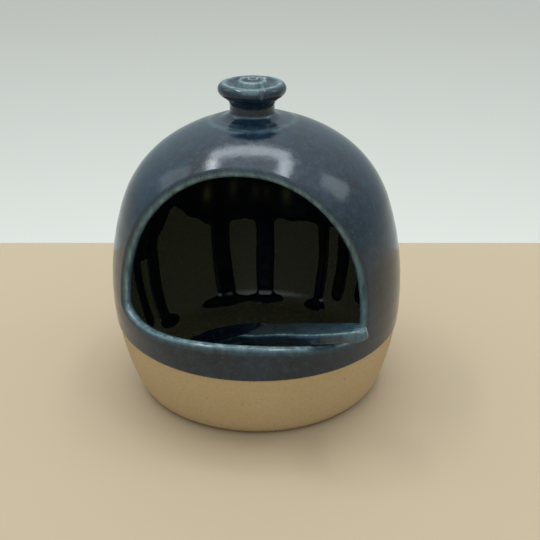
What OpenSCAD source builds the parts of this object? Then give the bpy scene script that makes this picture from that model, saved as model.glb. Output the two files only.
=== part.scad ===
// Salt pig: a closed stoneware jar with a wide arched mouth in its front and a turned knob on its crown.
// A dark glaze covers the outside down to a dip line, a thin liner covers the inside, and runs of the
// dark glaze hang over the liner. A loose spoon lies in the jar, bowl on the floor and handle on the lip.
// The base stands on Z = 0, the jar's axis is Z, and the mouth faces -Y.

/* [Jar] */
// Radius of the glazed belly
belly_r = 65; // [58:0.5:75]
// Height of the belly above the base
belly_z = 45; // [40:0.5:52]
// Height of the glazed crown above the base
crown_z = 123.5; // [118:0.5:135]
// Radius of the arc above the belly
side_arc_r = 128; // [110:1:160]
// Radius of the tighter arc of the shoulder
shoulder_arc_r = 50; // [44:1:56]
// Roundness of the crown: radius of its arc as a multiple of the belly's radius, more is flatter
crown_round = 1.06; // [1:0.01:1.2]
// Radius of the arc between belly and foot
lower_arc_r = 110; // [95:1:140]
// Radius of the rounded foot
foot_r = 6; // [3:0.5:9]
// Thickness of the clay wall
wall = 4; // [3:0.25:5]
// Thickness of the clay floor
floor_t = 7; // [5:0.5:9]
// Radius of the rounded corner between floor and wall, inside
inner_corner_r = 9; // [6:0.5:12]

/* [Mouth] */
// Half the widest width of the mouth
mouth_half_w = 49.5; // [42:0.5:53]
// Height of the lip above the base
lip_z = 47; // [43:0.5:50]
// Height of the mouth's widest level above the base
mouth_wide_z = 54; // [52:0.5:60]
// Height of the top of the arch above the base
arch_z = 110; // [100:0.5:112]
// Roundness of the arch: 2 is an ellipse, less is more pointed
arch_power = 2.05; // [1.7:0.05:2.3]
// Squareness of the lower corner on the -X side: 2 is an ellipse, more is squarer
left_corner_power = 5; // [3:0.5:10]
// Squareness of the lower corner on the +X side, where the handle lies
right_corner_power = 6; // [3:0.5:10]

/* [Knob] */
// Radius of the luted seat of the knob
knob_seat_r = 11; // [10:0.25:13]
// Radius of the knob's neck
knob_neck_r = 9.5; // [8:0.25:10.5]
// Largest radius of the knob
knob_r = 14.5; // [13.5:0.25:17]
// Height of the knob's edge above the crown
knob_h = 13.5; // [13:0.5:16]
// Radius of the round edge of the knob
knob_edge_r = 2.75; // [2.25:0.05:3]
// Radius of the hollow cove under the knob's edge
knob_cove_r = 4.25; // [3.5:0.25:4.5]
// Height of the neck's narrowest level above the crown
knob_neck_z = 3.5; // [3:0.1:4]
// Radius of the ring in the middle of the knob's dished top
knob_ring_r = 5; // [4:0.25:6.5]
// Radius of that ring's round bead
knob_bead_r = 1.2; // [0.8:0.1:1.6]
// How far that ring stands up above the knob's edge
knob_boss = 1; // [0:0.1:1.5]
// Depth of the dished top below the knob's edge
knob_dish = 2; // [1.7:0.1:3]
// How far the knob stands off the jar's axis, along X
knob_shift = -1.5; // [-3:0.1:3]

/* [Glaze] */
// Thickness of the dark outer glaze
glaze_t = 0.5; // [0.3:0.1:0.8]
// How far the outer glaze reaches down below the belly
dip_drop = 13; // [6:0.5:18]
// Thickness of the liner glaze inside
liner_t = 0.4; // [0.3:0.1:0.8]
// Thickness of the runs that hang over the liner
run_t = 0.7; // [0.4:0.1:1.2]

/* [Spoon] */
// Length of the spoon
spoon_l = 114; // [106:1:120]
// Length of the spoon's bowl
bowl_l = 47; // [44:1:54]
// Width of the spoon's bowl
bowl_w = 34.5; // [30:0.5:37]
// Depth of the hollow in the bowl
bowl_depth = 9; // [7:0.25:10]
// Width of the handle at its round end
handle_w = 16; // [14:0.5:18]
// Length over which the handle's end is rounded
handle_end = 18; // [10:0.5:22]
// How far the handle's end droops
end_droop = 3; // [0:0.25:4]
// Length over which it droops
droop_l = 37; // [25:1:45]
// Length of the handle, from its end, before it falls towards the bowl
handle_straight = 28; // [24:1:40]
// How far the bowl's rim lies below the straight part of the handle
bowl_drop = 2; // [1:0.5:5]
// Width of the neck between handle and bowl
neck_w = 17.5; // [14:0.5:19]
// Thickness of the spoon
spoon_t = 4; // [3:0.1:5]
// How far the handle reaches out past the middle of the lip
overhang = 16; // [12:0.5:18]
// Angle round the jar, from the middle of the mouth, where the handle crosses the lip
rest_angle = 35; // [30:0.5:38]
// Direction in plan in which the spoon points, from handle to bowl, measured from +X
heading = 139; // [135:0.5:145]
// Gap between the resting spoon and the jar
spoon_gap = 0.3; // [0.2:0.05:0.5]

/* [Hidden] */

// Turned round surfaces take this many sides in previews
$fn = 96;
// A cut reaches this far past the surface it goes through
past = 10;

// Profile of the jar: the arcs of the glazed outside, which every other layer follows at its own depth.
// The shoulder's arc touches the arc above the belly and the crown's arc from within.
lower_cx = belly_r - lower_arc_r;
side_c = [belly_r - side_arc_r, belly_z];
crown_arc_r = crown_round * belly_r;
crown_c = [0, crown_z - crown_arc_r];
side_reach = side_arc_r - shoulder_arc_r;
crown_reach = crown_arc_r - shoulder_arc_r;
apart = norm(crown_c - side_c);
side_join = atan2(crown_c.y - side_c.y, crown_c.x - side_c.x)
    + acos((side_reach ^ 2 + apart ^ 2 - crown_reach ^ 2) / (2 * side_reach * apart));
shoulder_c = side_c + side_reach * [cos(side_join), sin(side_join)];
crown_join = atan2(shoulder_c.y - crown_c.y, shoulder_c.x - crown_c.x);

// Depths below the glazed outside
clay_out = -glaze_t;
clay_in = clay_out - wall;
liner_in = clay_in - liner_t;
run_in = liner_in - run_t;
floor_top = floor_t + liner_t;

function spread(from, to, steps) = [for (i = [1 : steps]) from + (to - from) * i / steps];
function arc(cx, cz, r, angles) = [for (a = angles) [cx + r * cos(a), cz + r * sin(a)]];
function backwards(list) = [for (i = [len(list) - 1 : -1 : 0]) list[i]];

// Angles at which the arcs are sampled, shared by all layers so that their faces match
dip_angle = asin(-dip_drop / lower_arc_r);
coat_angles = spread(dip_angle, 0, 4);
side_angles = spread(0, side_join, 5);
shoulder_angles = spread(side_join, crown_join, 10);
crown_angles = spread(crown_join, 90, 14);

function lower_line(depth, angles) = arc(lower_cx, belly_z, lower_arc_r + depth, angles);
function dome_line(depth) = concat(
    arc(side_c.x, side_c.y, side_arc_r + depth, side_angles),
    arc(shoulder_c.x, shoulder_c.y, shoulder_arc_r + depth, shoulder_angles),
    arc(crown_c.x, crown_c.y, crown_arc_r + depth, crown_angles));

// Round corner of radius r that joins a flat at height z to the lower arc at a depth
function corner_centre(depth, z, r) =
    let (reach = lower_arc_r + depth - r, drop = belly_z - z - r)
    [lower_cx + sqrt(reach ^ 2 - drop ^ 2), z + r];
function corner_join(centre) = atan2(centre.y - belly_z, centre.x - lower_cx);
foot_centre = corner_centre(clay_out, 0, foot_r);
foot_join = corner_join(foot_centre);
inner_centre = corner_centre(clay_in, floor_t, inner_corner_r);
inner_join = corner_join(inner_centre);
inner_angles = spread(inner_join, 0, 8);
foot_angles = concat([-90], spread(-90, foot_join, 8));
corner_angles = concat([-90], spread(-90, inner_join, 8));

// Whole profile of the clay's outside, and of any layer inside, from axis to axis
outside = concat([[0, 0]], arc(foot_centre.x, foot_centre.y, foot_r, foot_angles),
    lower_line(clay_out, concat(spread(foot_join, dip_angle, 5), coat_angles)), dome_line(clay_out));
function corner_line(depth, angles) =
    arc(inner_centre.x, inner_centre.y, inner_corner_r + depth - clay_in, angles);
function inside(depth) = concat([[0, floor_t + clay_in - depth]], corner_line(depth, corner_angles),
    lower_line(depth, inner_angles), dome_line(depth));

// Mouth outline in the XZ plane: a pointed oval above its widest level, a square oval below it
function oval(half_w, half_h, power, from, to, steps) = [for (a = spread(from, to, steps))
    [half_w * sign(cos(a)) * abs(cos(a)) ^ (2 / power), half_h * sign(sin(a)) * abs(sin(a)) ^ (2 / power)]];
mouth_steps = 40;
mouth_outline = [for (p = concat(
        oval(mouth_half_w, arch_z - mouth_wide_z, arch_power, 0, 180, mouth_steps),
        oval(mouth_half_w, mouth_wide_z - lip_z, left_corner_power, 180, 270, mouth_steps / 2),
        oval(mouth_half_w, mouth_wide_z - lip_z, right_corner_power, 270, 360, mouth_steps / 2)))
    [p.x, mouth_wide_z + p.y]];
// Height of the lower edge of the mouth at a place across it, on the +X side
function sill_z(x) = mouth_wide_z - (mouth_wide_z - lip_z)
    * (1 - min(abs(x) / mouth_half_w, 1) ^ right_corner_power) ^ (1 / right_corner_power);

// Runs, in hundredths: [way round the wall from the jamb on the +X side to the other jamb, width on that
// way, height at which it stops as a share of the belly's height or 0 on the floor, and rise of the dark
// glaze's edge between it and the next run as a share of the rise from belly to crown]
runs = [[14.1, 2.85, 36, 11], [21.5, 2.45, 0, 10], [28.8, 1.85, 42, 9], [34.1, 2.65, 31, 8],
        [39, 2.65, 0, 10.5], [51.2, 3.65, 0, 10], [60.6, 4.1, 0, 19],
        [76.5, 2.85, 0, 25], [81, 1.45, 31, 17.5], [89.1, 2.85, 0, 12.5], [96, 2, 53, 11]];
jamb_angle = asin(min(1, mouth_half_w / (belly_r + run_in)));
run_way = (360 - 2 * jamb_angle) / 100;
// The foot of a run that reaches the floor spreads to this many times its width
foot_spread = 2.2;
// Cuts beside a run reach into the cuts next to them by this angle round the wall and this height
overlap_turn = 0.5;
overlap_h = 0.5;
// Those cuts start at this radius, well inside the corner between floor and wall
cut_from_r = belly_r / 4;

// Spoon, drawn along +X from the end of its handle, with the top of the handle at Z = 0
handle_l = spoon_l - bowl_l;
half_sides = 12;
end_angles = [15 : 15 : 90];
tip_angles = [12 : 11 : 89];
// Power of the sine that the bowl's hollow follows lengthwise: less than 1 is fuller
hollow_power = 0.8;
stations = concat([for (a = end_angles) handle_end * (1 - cos(a))],
                  spread(handle_end, handle_l, 8),
                  [for (s = spread(0, 0.5, 6)) handle_l + s * bowl_l],
                  [for (a = tip_angles) handle_l + (0.5 + 0.5 * sin(a)) * bowl_l]);

function ease(t) = t * t * (3 - 2 * t);
function round_end(t) = sqrt(max(0, 1 - (1 - min(t, 1)) ^ 2));
function along_bowl(u) = (u - handle_l) / bowl_l;
function half_width(u) =
    u < handle_l
    ? (handle_w + (neck_w - handle_w) * ease(u / handle_l)) / 2 * round_end(u / handle_end)
    : along_bowl(u) < 0.5
    ? (neck_w + (bowl_w - neck_w) * ease(2 * along_bowl(u))) / 2
    : bowl_w / 2 * sqrt(max(0, 1 - (2 * along_bowl(u) - 1) ^ 2));
function hollow(u) = u < handle_l ? 0 : bowl_depth * sin(180 * along_bowl(u)) ^ hollow_power;
function fall(u) = end_droop * max(0, 1 - u / droop_l) ^ 2
    + bowl_drop * ease(min(max((u - handle_straight) / (handle_l - handle_straight), 0), 1));
function half_thick(u, t) =
    spoon_t / 2 * sqrt(1 - t ^ 4) * round_end(2 * u / spoon_t) * round_end(2 * (spoon_l - u) / spoon_t);
// Point of the spoon's skin: t runs from -1 to 1 across it, side is 1 on top and -1 below
function skin(u, t, side) =
    [u, t * half_width(u), -spoon_t / 2 - fall(u) - hollow(u) * (1 - t * t) + side * half_thick(u, t)];
function section(u) = concat(
    [for (j = [0 : half_sides]) skin(u, -cos(180 * j / half_sides), 1)],
    [for (j = [1 : half_sides - 1]) skin(u, cos(180 * j / half_sides), -1)]);
spoon_points = [for (u = stations) each section(u)];
ring_n = 2 * half_sides;
last_ring = (len(stations) - 1) * ring_n;
spoon_faces = concat(
    [for (i = [0 : len(stations) - 2], j = [0 : ring_n - 1], half = [0, 1])
        let (a = i * ring_n + j, b = i * ring_n + (j + 1) % ring_n)
        half == 0 ? [a, b, a + ring_n] : [b, b + ring_n, a + ring_n]],
    [for (j = [1 : ring_n - 2]) [0, j + 1, j]],
    [for (j = [1 : ring_n - 2]) [last_ring, last_ring + j, last_ring + j + 1]]);

// Rest of the spoon: its tilt and height follow from the floor under its bowl and the lip under its handle
rest_r = belly_r - glaze_t - wall / 2;
spoon_x = rest_r * sin(rest_angle) - overhang * cos(heading);
spoon_y = -rest_r * cos(rest_angle) - overhang * sin(heading);
function turned(p, tilt) =
    let (along = p.x * cos(tilt) + p.z * sin(tilt))
    [spoon_x + along * cos(heading) - p.y * sin(heading),
     spoon_y + along * sin(heading) + p.y * cos(heading),
     p.z * cos(tilt) - p.x * sin(tilt)];
function in_wall(p) = norm([p.x, p.y]) > rest_r - wall && norm([p.x, p.y]) < rest_r + wall;
function height_on_floor(tilt) = max([for (p = spoon_points) floor_top + spoon_gap - turned(p, tilt).z]);
function height_on_lip(tilt) = max([for (p = spoon_points) let (q = turned(p, tilt))
    in_wall(q) && p.x < handle_l ? sill_z(q.x) + spoon_gap - q.z : 0]);
function rest_tilt(low, high, steps) =
    let (mid = (low + high) / 2)
    steps == 0 ? mid
    : height_on_floor(mid) > height_on_lip(mid) ? rest_tilt(low, mid, steps - 1)
    : rest_tilt(mid, high, steps - 1);
spoon_tilt = rest_tilt(0, 50, 24);
spoon_z = height_on_lip(spoon_tilt);

// Space that the mouth takes out of the front wall
module mouth_cut() {
    rotate([90, 0, 0])
        linear_extrude(belly_r + past)
            polygon(mouth_outline);
}

// Layer between two profiles of equal length, turned round the axis
module turned_layer(outer, inner) {
    rotate_extrude()
        polygon(concat(outer, backwards(inner)));
}

// Thrown wall and floor, bare clay, with the mouth cut in its front
module clay_jar() {
    color("tan")
        difference() {
            turned_layer(outside, inside(clay_in));
            mouth_cut();
        }
}

// Outline of the knob from its underside, inside the crown, to the middle of its dished top
knob_top = crown_z + knob_h;
dish_z = knob_top - knob_dish;
ring_z = knob_top + knob_boss - knob_bead_r;
dish_r = (knob_r - knob_edge_r + knob_ring_r) / 2;
edge_c = [knob_r - knob_edge_r, knob_top - knob_edge_r];
cove_c = [knob_neck_r + knob_cove_r, crown_z + knob_neck_z];
cove_low = 180 + acos((cove_c.x - knob_seat_r) / knob_cove_r);
// Angles at which the cove ends, and at which the round edge and the ring's bead start and end
cove_high = 127;
edge_under = -53;
edge_over = 115;
bead_out = 20;
bead_in = 150;
knob_outline = concat(
    [[0, crown_z - past], [knob_seat_r, crown_z - past]],
    arc(cove_c.x, cove_c.y, knob_cove_r, concat([cove_low], spread(cove_low, cove_high, 8))),
    arc(edge_c.x, edge_c.y, knob_edge_r, concat([edge_under], spread(edge_under, edge_over, 8))),
    [[dish_r, dish_z]],
    arc(knob_ring_r, ring_z, knob_bead_r, concat([bead_out], spread(bead_out, bead_in, 6))),
    [[0, ring_z]]);

// Turned knob, luted on the crown, glazed all over
module knob() {
    color("navy")
        difference() {
            translate([knob_shift, 0, 0])
                rotate_extrude()
                    polygon(knob_outline);
            rotate_extrude()
                polygon(outside);
        }
}

// Dark glaze on the outside, from the dip line up to the knob
function coat_line(depth) = concat(lower_line(depth, concat([dip_angle], coat_angles)), dome_line(depth));
module outer_glaze() {
    color("darkslateblue")
        difference() {
            turned_layer(coat_line(0), coat_line(clay_out));
            mouth_cut();
            translate([knob_shift, 0, crown_z - past])
                cylinder(r = knob_seat_r, h = 2 * past);
        }
}

// Thin olive liner on the whole inside
module liner_glaze() {
    color("darkolivegreen")
        difference() {
            turned_layer(inside(clay_in), inside(liner_in));
            mouth_cut();
        }
}

// Line of the dark glaze inside, from the feet of the runs, part way up the corner, to the crown
foot_angles_inside = [for (i = [2 : len(corner_angles) - 1]) corner_angles[i]];
function run_line(depth) = concat(corner_line(depth, foot_angles_inside),
    lower_line(depth, inner_angles), dome_line(depth));
// Height up to which the feet spread
foot_z = inner_centre.y - inner_corner_r / 4;
function run_side(i, side) = jamb_angle + run_way * (runs[i][0] + side * runs[i][1] / 2);
function foot_side(i, side) =
    jamb_angle + run_way * (runs[i][0] + side * runs[i][1] / 2 * (runs[i][2] == 0 ? foot_spread : 1));
// Space between two heights over a sector, which takes the dark glaze off the lower wall there
module bare_sector(from, to, low, high) {
    rotate([0, 0, from - 90])
        rotate_extrude(angle = to - from)
            translate([cut_from_r, low])
                square([belly_r - cut_from_r, high - low]);
}

// Dark glaze inside: a cap under the crown, and runs down from it over the liner to the floor
module glaze_runs() {
    color("black")
        difference() {
            turned_layer(run_line(liner_in), run_line(run_in));
            for (i = [0 : len(runs) - 1]) {
                next = (i + 1) % len(runs);
                turn = next == 0 ? 360 : 0;
                edge_z = belly_z + (crown_z - belly_z) * runs[i][3] / 100;
                stop_z = belly_z * runs[i][2] / 100;
                bare_sector(run_side(i, 1), run_side(next, -1) + turn, foot_z, edge_z);
                bare_sector(foot_side(i, 1), foot_side(next, -1) + turn, 0, foot_z + overlap_h);
                if (stop_z > 0)
                    bare_sector(run_side(i, -1) - overlap_turn, run_side(i, 1) + overlap_turn, 0, stop_z);
            }
            mouth_cut();
        }
}

// Loose spoon, a leaf-shaped bowl on a broad flat handle, glazed all over
module spoon() {
    color("slategray")
        translate([spoon_x, spoon_y, spoon_z])
            rotate([0, 0, heading])
                rotate([0, spoon_tilt, 0])
                    polyhedron(spoon_points, spoon_faces);
}

clay_jar();
knob();
outer_glaze();
liner_glaze();
glaze_runs();
spoon();
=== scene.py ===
import math

import bmesh
import bpy
import numpy as np
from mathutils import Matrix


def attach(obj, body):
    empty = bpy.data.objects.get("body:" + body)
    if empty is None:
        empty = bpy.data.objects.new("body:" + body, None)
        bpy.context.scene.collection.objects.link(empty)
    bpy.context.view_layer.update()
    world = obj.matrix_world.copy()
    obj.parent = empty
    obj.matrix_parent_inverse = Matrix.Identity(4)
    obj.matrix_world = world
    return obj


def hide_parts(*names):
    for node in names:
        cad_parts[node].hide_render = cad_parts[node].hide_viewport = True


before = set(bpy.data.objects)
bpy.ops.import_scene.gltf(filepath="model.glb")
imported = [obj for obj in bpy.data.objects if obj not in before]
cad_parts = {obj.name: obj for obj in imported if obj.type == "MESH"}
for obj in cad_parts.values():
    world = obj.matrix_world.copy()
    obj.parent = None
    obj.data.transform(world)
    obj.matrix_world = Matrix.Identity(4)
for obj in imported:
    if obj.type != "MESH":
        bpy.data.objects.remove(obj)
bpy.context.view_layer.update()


# The thrown jar: one wall of buff stoneware, thrown closed on the wheel and trimmed at its foot,
# with the arched mouth cut through its front while the clay was leather-hard. It stays bare below
# the dip line. The glazes are fired onto the rest of it.
MM = 0.001
# Sizes are in mm and angles in degrees: the belly, the crown and the arcs of the wall between them
BELLY_R, BELLY_Z, CROWN_Z = 65.0, 45.0, 123.5
SIDE_R, SHOULDER_R, LOWER_R, CROWN_R = 128.0, 50.0, 115.0, 68.9
SIDE_X, LOWER_X, CROWN_C = BELLY_R - SIDE_R, BELLY_R - LOWER_R, CROWN_Z - CROWN_R
FOOT_R, INNER_CORNER_R, FLOOR_TOP = 6.0, 9.0, 7.0
GLAZE, WALL, LINER = 0.5, 4.0, 0.4
# How far the crown and the foot stand to the right of the belly's axis
LEAN, FOOT_LEAN = -0.35, 0.8
# Waves of the thrown wall, two and three to a round, and the rings that the fingers left
OVAL_WAVE, THREE_WAVE, THREE_TWIST, RING_WAVE, RING_PITCH = 0.16, 0.08, 19.0, 0.03, 8.5
# The mouth: its middle and half width, the heights of its lower edge, widest level and arch, how square the
# arch and the two lower corners are, and the slope of the lower edge with the wall's radius there
MOUTH_X, MOUTH_HALF, MOUTH_MID = -1.06, 52.9, 74.0
LIP_Z, MOUTH_Z, ARCH_Z = 45.2, 50.0, 112.63
ARCH_POWER, LEFT_POWER, RIGHT_POWER = 2.12, 1.8, 3.2
SILL_SLOPE, SILL_R = 0.41, 62.5
# How far from that outline the clay's lip starts, and how far it swells towards the mouth
CLAY_BACK, CLAY_SWELL = 0.3, 2.3
# Counts of the grids, and the window in the wall that holds the mouth
ARC_POINTS, OUTLINE_POINTS = 240, 900
COLUMNS, WINDOW_COLUMNS, WINDOW_ROWS = 240, 44, 60
WINDOW_LOW, WINDOW_HIGH = 37.6, 117.0
PATCH_ROWS, PATCH_EASE, CLAY_LIP_ROWS = 12, 1.3, 15
OUTSIDE_ROWS, INSIDE_ROWS = (44, 14), (46, 14)


def shoulder_arc():
    """Centre of the shoulder's arc, which touches the side's and the crown's arcs from within, and the angles
    in degrees at which it leaves them, from the triangle of the three centres."""
    side_reach, crown_reach = SIDE_R - SHOULDER_R, CROWN_R - SHOULDER_R
    apart = math.hypot(SIDE_X, CROWN_C - BELLY_Z)
    leave = math.atan2(CROWN_C - BELLY_Z, -SIDE_X) + math.acos(
        (side_reach**2 + apart**2 - crown_reach**2) / (2 * side_reach * apart))
    x, z = SIDE_X + side_reach * math.cos(leave), BELLY_Z + side_reach * math.sin(leave)
    return x, z, math.degrees(leave), math.degrees(math.atan2(z - CROWN_C, x))


def jar_line(depth, corner_r, floor_z):
    """Profile of the jar at a depth below its glazed outside, from the middle of the floor to the crown.

    A flat floor, a round corner, then the lower wall, side, shoulder and crown arcs, tangent to each other.
    Rows of the result are length along it, radius, height, and the outward normal's two parts."""
    shoulder_x, shoulder_z, side_join, crown_join = shoulder_arc()
    reach, drop = LOWER_R - depth - corner_r, BELLY_Z - floor_z - corner_r
    corner_x = LOWER_X + math.sqrt(reach**2 - drop**2)
    join = math.degrees(math.atan2(-drop, corner_x - LOWER_X))
    arcs = ((corner_x, floor_z + corner_r, corner_r, -90.0, join),
            (LOWER_X, BELLY_Z, LOWER_R - depth, join, 0.0),
            (SIDE_X, BELLY_Z, SIDE_R - depth, 0.0, side_join),
            (shoulder_x, shoulder_z, SHOULDER_R - depth, side_join, crown_join),
            (0.0, CROWN_C, CROWN_R - depth, crown_join, 90.0))
    rows = [np.array([[0.0, floor_z, 0.0, -1.0]])]
    for x, z, radius, start, end in arcs:
        a = np.radians(np.linspace(start, end, ARC_POINTS))
        rows.append(np.stack([x + radius * np.cos(a), z + radius * np.sin(a), np.cos(a), np.sin(a)], 1))
    points = np.concatenate(rows)
    steps = np.hypot(*np.diff(points[:, :2], axis=0).T)
    keep = np.concatenate([[True], steps > 1e-9])
    length = np.concatenate([[0.0], np.cumsum(steps)])
    return np.vstack([length[keep], points[keep].T])


def thrown(turn, z):
    """Small departure of the hand-thrown wall from true round, inwards: slow waves round it and faint rings
    up it."""
    slow = OVAL_WAVE * (1 + np.sin(2 * turn + 0.8)) + THREE_WAVE * (1 + np.sin(3 * turn - z / THREE_TWIST))
    return slow + RING_WAVE * (1 + np.sin(2 * np.pi * z / RING_PITCH + turn))


def on_wall(line, turn, s, inset=0.0):
    """Point of the wall at an angle from the front and a length along the profile, set in along its normal,
    with the waves of the throwing and the jar's lean."""
    r, z, nr, nz = (np.interp(s, line[0], row) for row in line[1:])
    r, z = r - inset * nr, z - inset * nz
    r = np.maximum(r - thrown(turn, z) * np.clip(nr, 0, 1), 0.0)
    lean = (LEAN * np.clip((z - BELLY_Z) / (CROWN_Z - BELLY_Z), 0, 1)
            + FOOT_LEAN * np.clip((BELLY_Z - z) / BELLY_Z, 0, 1))
    return np.stack([lean + r * np.sin(turn), -r * np.cos(turn), z], -1) * MM


def length_at(line, z, inset=0.0):
    """Length along the profile at a height on the wall, with the flat floor left out."""
    up = line[4] > -0.9
    return np.interp(z, (line[2] - inset * line[4])[up], line[0][up])


def mouth_outline(angle):
    """Across and up, at an angle round the mouth's middle, of the line where the wall starts to round into
    its lip.

    It is an oval above its widest level, and below it two corners of different roundness. The lower edge
    between them was cut in a plane that slopes down towards the back."""
    def oval(half_h, power, start, end, slope):
        a = np.radians(np.linspace(start, end, OUTLINE_POINTS))
        share = np.abs(np.sin(a)) ** (2 / power)
        x = MOUTH_X + MOUTH_HALF * np.sign(np.cos(a)) * np.abs(np.cos(a)) ** (2 / power)
        back = SILL_R - np.sqrt(SILL_R**2 - x**2)
        return np.stack([x, MOUTH_Z + (half_h * np.sign(np.sin(a)) - slope * back) * share])
    curve = np.hstack([oval(ARCH_Z - MOUTH_Z, ARCH_POWER, 0, 180, 0.0),
                       oval(MOUTH_Z - LIP_Z, LEFT_POWER, 180, 270, SILL_SLOPE),
                       oval(MOUTH_Z - LIP_Z, RIGHT_POWER, 270, 360, SILL_SLOPE)])
    way = np.unwrap(np.arctan2(curve[1] - MOUTH_MID, curve[0]))
    return tuple(np.interp(angle, way, row, period=2 * np.pi) for row in curve)


def mouth_rim(line, away, angle):
    """Angle and length, on a layer of the wall, of the mouth's outline moved away from the mouth.

    The outline lies on the glazed outside. A layer below takes the point straight under it, through the
    wall."""
    x, z = mouth_outline(angle)
    s = length_at(outside, z, -GLAZE)
    r = np.interp(s, outside[0], outside[1]) + GLAZE * np.interp(s, outside[0], outside[3])
    turn = np.arcsin(x / r)
    across, along = np.roll(r * turn, -1) - np.roll(r * turn, 1), np.roll(s, -1) - np.roll(s, 1)
    size = np.hypot(across, along)
    lean = np.interp(s - away * across / size, outside[0], np.arctan2(outside[4], outside[3]))
    return turn + away * along / size / r, np.interp(lean, np.arctan2(line[4], line[3]), line[0])


def quads(index, turned=False):
    """Four-cornered faces of a grid of vertex numbers, facing the other way where turned."""
    ring = np.stack([index[:-1, :-1], index[:-1, 1:], index[1:, 1:], index[1:, :-1]], -1).reshape(-1, 4)
    return ring[:, ::-1] if turned else ring


def ringed(index):
    """The same grid of vertex numbers with its first column again at the end."""
    return np.hstack([index, index[:, :1]])


def wall_rows(line, start, end, inset, counts):
    """Lengths of a wall's rows, from start to end, so that the mouth's window takes the middle ones."""
    low, high = length_at(line, np.array([WINDOW_LOW, WINDOW_HIGH]), inset)
    flat = np.ones(COLUMNS)
    low, high = low * flat, high * flat
    return np.concatenate([np.linspace(start * flat, low, counts[0])[:-1],
                           np.linspace(low, high, WINDOW_ROWS + 1),
                           np.linspace(high, end * flat, counts[1])[1:]])


def window_edge(index, low_row):
    """Vertex numbers round the window that holds the mouth, anticlockwise from its lower left corner."""
    side = np.arange(-WINDOW_COLUMNS, WINDOW_COLUMNS + 1)
    rows = np.arange(low_row, low_row + WINDOW_ROWS + 1)
    return np.concatenate([index[rows[0], side], index[rows[1:], side[-1]],
                           index[rows[-1], side[-2::-1]], index[rows[-2:0:-1], side[0]]])


def wall_with_mouth(line, rows, low_row, inset, away, angle, first, inner):
    """One face of the wall, with a hole where the mouth is.

    Rows of the wall stay level, apart from a window in front. There, straight lines on the wall join
    the window's edge to the mouth's rim. Returns points, faces and the rim's vertex numbers."""
    turn = np.linspace(0, 2 * np.pi, COLUMNS, endpoint=False)
    points = on_wall(line, turn[None, :], rows, inset)
    index = first + np.arange(points[..., 0].size).reshape(rows.shape)
    cells = np.ones((len(rows) - 1, COLUMNS), bool)
    cells[low_row:low_row + WINDOW_ROWS, :WINDOW_COLUMNS] = False
    cells[low_row:low_row + WINDOW_ROWS, -WINDOW_COLUMNS:] = False
    faces = [quads(ringed(index), inner)[cells.ravel()]]
    edge = window_edge(index, low_row)
    edge_turn = np.arctan2(np.sin(turn), np.cos(turn))[(edge - first) % COLUMNS]
    edge_s = rows.ravel()[edge - first]
    rim_turn, rim_s = mouth_rim(line, away, angle)
    t = np.linspace(0, 1, PATCH_ROWS)[:-1, None] ** PATCH_EASE
    patch = on_wall(line, rim_turn * (1 - t) + edge_turn * t, rim_s * (1 - t) + edge_s * t, inset)
    patch_index = first + index.size + np.arange(patch[..., 0].size).reshape(len(t), -1)
    faces.append(quads(ringed(np.vstack([patch_index, edge[None, :]])), not inner))
    points = np.concatenate([points.reshape(-1, 3), patch.reshape(-1, 3)])
    return points, np.concatenate(faces), patch_index[0]


def window_angles(line, rows, low_row, inset):
    """Angle round the mouth's middle of each vertex of the window's edge, seen from the front."""
    index = np.arange(rows.size).reshape(rows.shape)
    edge = window_edge(index, low_row)
    turn = np.linspace(0, 2 * np.pi, COLUMNS, endpoint=False)
    x, _, z = on_wall(line, turn[None, :], rows, inset).reshape(-1, 3)[edge].T / MM
    return np.arctan2(z - MOUTH_MID, x)


def lip(ends, controls, count):
    """Rounded lip of the mouth: cubic curves from the outer face to the inner one, tangent to both.
    The controls are the sharp edges of the cut."""
    b = np.linspace(0, 1, count)[:, None, None]
    return ((1 - b) ** 3 * ends[0] + 3 * (1 - b) ** 2 * b * controls[0]
            + 3 * (1 - b) * b**2 * controls[1] + b**3 * ends[1])


def make_piece(name, points, faces, body, nodes, material, marks=None, shell=0.0):
    """Puts the points that faces use into a smooth mesh, with a value per point where given, and sets it on
    its body. A shell gives a sheet that thickness, inwards."""
    used, faces = np.unique(faces, return_inverse=True)
    mesh = bpy.data.meshes.new(name)
    mesh.from_pydata(np.asarray(points)[used].tolist(), [], faces.reshape(-1, 4).tolist())
    for label, values in (marks or {}).items():
        values = np.asarray(values, np.float32)[used]
        mesh.attributes.new(label, "FLOAT", "POINT").data.foreach_set("value", values)
    work = bmesh.new()
    work.from_mesh(mesh)
    bmesh.ops.remove_doubles(work, verts=work.verts, dist=1e-6)
    work.to_mesh(mesh)
    work.free()
    mesh.polygons.foreach_set("use_smooth", np.ones(len(mesh.polygons), bool))
    mesh.materials.append(material)
    piece = bpy.data.objects.new(name, mesh)
    bpy.context.scene.collection.objects.link(piece)
    if shell:
        layer = piece.modifiers.new("layer", "SOLIDIFY")
        layer.thickness = shell * MM
        layer.offset = -1.0
        layer.use_even_offset = True
        layer.use_quality_normals = True
    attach(piece, body)
    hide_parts(*nodes)


def linear(code):
    """Linear colour of an sRGB hex code."""
    c = np.array([int(code[i:i + 2], 16) for i in (1, 3, 5)]) / 255.0
    return (*np.where(c <= 0.04045, c / 12.92, ((c + 0.055) / 1.055) ** 2.4), 1.0)


def add(tree, kind, values=(), **settings):
    """Adds a node with its settings. Values go to its sockets by name or number, and an output is linked."""
    made = tree.nodes.new("ShaderNode" + kind)
    for label, value in settings.items():
        setattr(made, label, value)
    for socket, value in dict(values).items():
        if isinstance(value, bpy.types.NodeSocket):
            tree.links.new(value, made.inputs[socket])
        else:
            made.inputs[socket].default_value = value
    return made


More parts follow.
